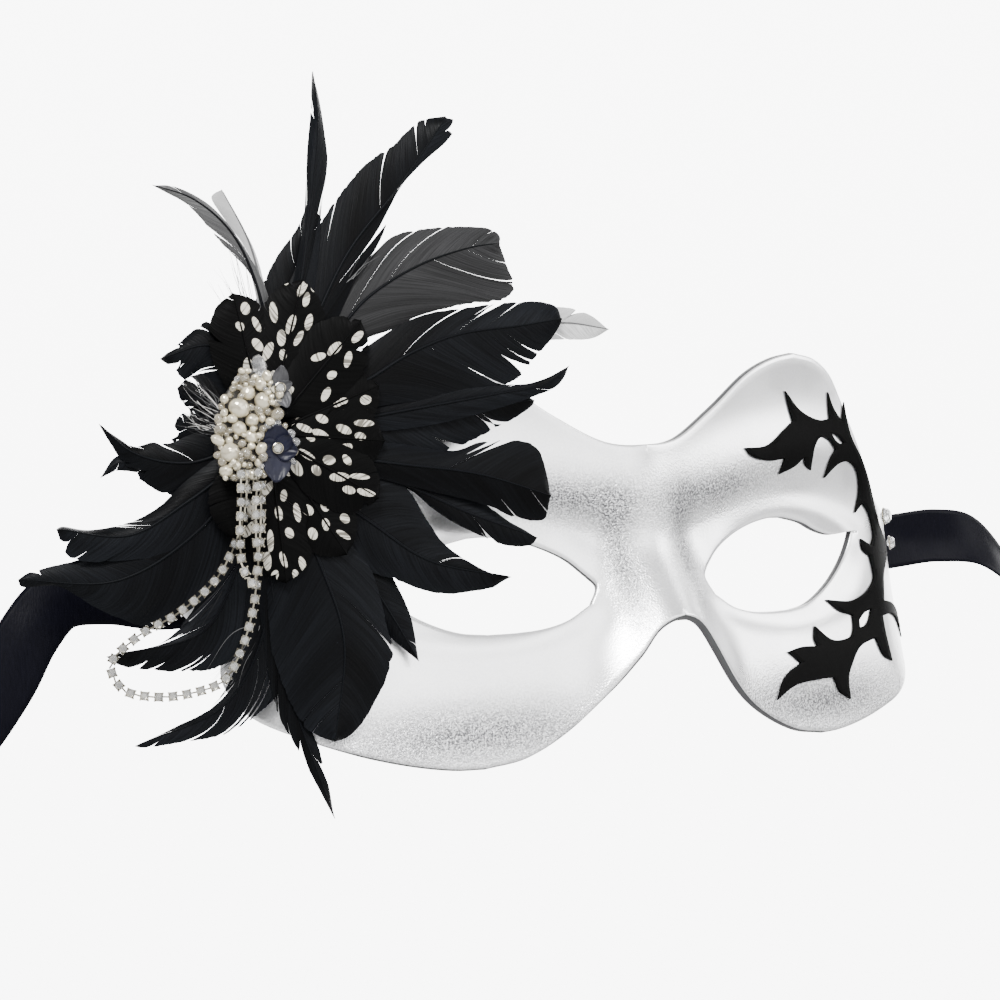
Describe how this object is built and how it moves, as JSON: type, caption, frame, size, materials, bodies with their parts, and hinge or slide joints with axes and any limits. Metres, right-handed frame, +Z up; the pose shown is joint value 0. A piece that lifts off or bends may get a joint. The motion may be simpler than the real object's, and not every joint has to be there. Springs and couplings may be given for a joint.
{
  "type": "masquerade eye mask",
  "caption": "Silver Venetian eye mask with a dark feather fan, pearl brooch, rhinestone chains, black scroll trim and satin tie ribbons.",
  "frame": {"origin": "inside of the nose bridge, midway between the inner corners of the eye holes", "axes": "+Z up as worn, the face looks along -Y, +X towards the temple with the black scroll trim"},
  "size_m": [0.3212, 0.0682, 0.3438],
  "materials": {
    "silver": "silver leaf over a moulded shell, satin",
    "black": "matt black, thin cut-out",
    "feather": "dyed black feather",
    "grey": "thin grey feather",
    "spotted": "black feather with cream spots",
    "felt": "felt",
    "pearl": "cream imitation pearl",
    "crystal": "cut clear stone",
    "metal": "plated",
    "navy": "navy petal, satin",
    "smoke": "smoky grey petal, satin",
    "satin": "black satin ribbon"
  },
  "bodies": {
    "mask": {"mask_shell": "silver", "scroll_upper": "black", "scroll_lower": "black", "temple_crystal_upper": "crystal", "temple_crystal_lower": "crystal", "felt_pad": "felt", "plume_spike_up": "feather", "plume_broad_up": "feather", "plume_back_up": "feather", "plume_grey_arch": "grey", "plume_brow_upper": "feather", "plume_pale_tip": "grey", "plume_curved_spike": "feather", "plume_brow_blunt": "feather", "plume_brow_lower": "feather", "plume_brow_under": "feather", "plume_cheek_wide": "feather", "plume_cheek_spike": "feather", "plume_down_round": "feather", "plume_down_spike": "feather", "plume_down_frayed": "feather", "plume_left_frayed": "feather", "plume_left_wide": "feather", "plume_left_hooked": "feather", "plume_left_short": "feather", "plume_upper_left": "feather", "plume_grey_curl": "grey", "spotted_feather_1": "spotted", "spotted_feather_2": "spotted", "spotted_feather_3": "spotted", "spotted_feather_4": "spotted", "spotted_feather_5": "spotted", "spotted_feather_6": "spotted", "spotted_feather_7": "spotted", "spotted_feather_8": "spotted", "spotted_feather_9": "spotted", "brooch_plate": "metal", "pearl_1": "pearl", "pearl_2": "pearl", "pearl_3": "pearl", "pearl_4": "pearl", "pearl_5": "pearl", "pearl_6": "pearl", "pearl_7": "pearl", "pearl_8": "pearl", "pearl_9": "pearl", "clear_bead_1": "crystal", "clear_bead_2": "crystal", "clear_bead_3": "crystal", "clear_bead_4": "crystal", "top_bead": "crystal", "navy_flower": "navy", "navy_flower_rhinestone": "crystal", "smoky_flower": "smoke", "smoky_flower_rhinestone": "crystal"},
    "long_chain": {"long_cup_chain": "metal"},
    "short_chain": {"short_cup_chain": "metal"},
    "ribbon_right": {"right_ribbon": "satin"},
    "ribbon_left": {"left_ribbon": "satin"}
  },
  "joints": [
    {"name": "right_ribbon_swing", "type": "hinge", "parent": "mask", "child": "ribbon_right", "pos_m": [0.08209, 0.02654, 0.00527], "axis": [0, 0, 1], "range_deg": [0, 75]},
    {"name": "left_ribbon_swing", "type": "hinge", "parent": "mask", "child": "ribbon_left", "pos_m": [-0.08209, 0.02654, 0.00527], "axis": [0, 0, 1], "range_deg": [-75, 0]},
    {"name": "long_chain_swing", "type": "hinge", "parent": "mask", "child": "long_chain", "pos_m": [-0.0912, 0.00962, 0.0274], "axis": [-0.4067, -0.9135, 0], "range_deg": [-20, 0]},
    {"name": "short_chain_swing", "type": "hinge", "parent": "mask", "child": "short_chain", "pos_m": [-0.09361, 0.00766, 0.0274], "axis": [-0.4067, -0.9135, 0], "range_deg": [-12, 12]}
  ]
}
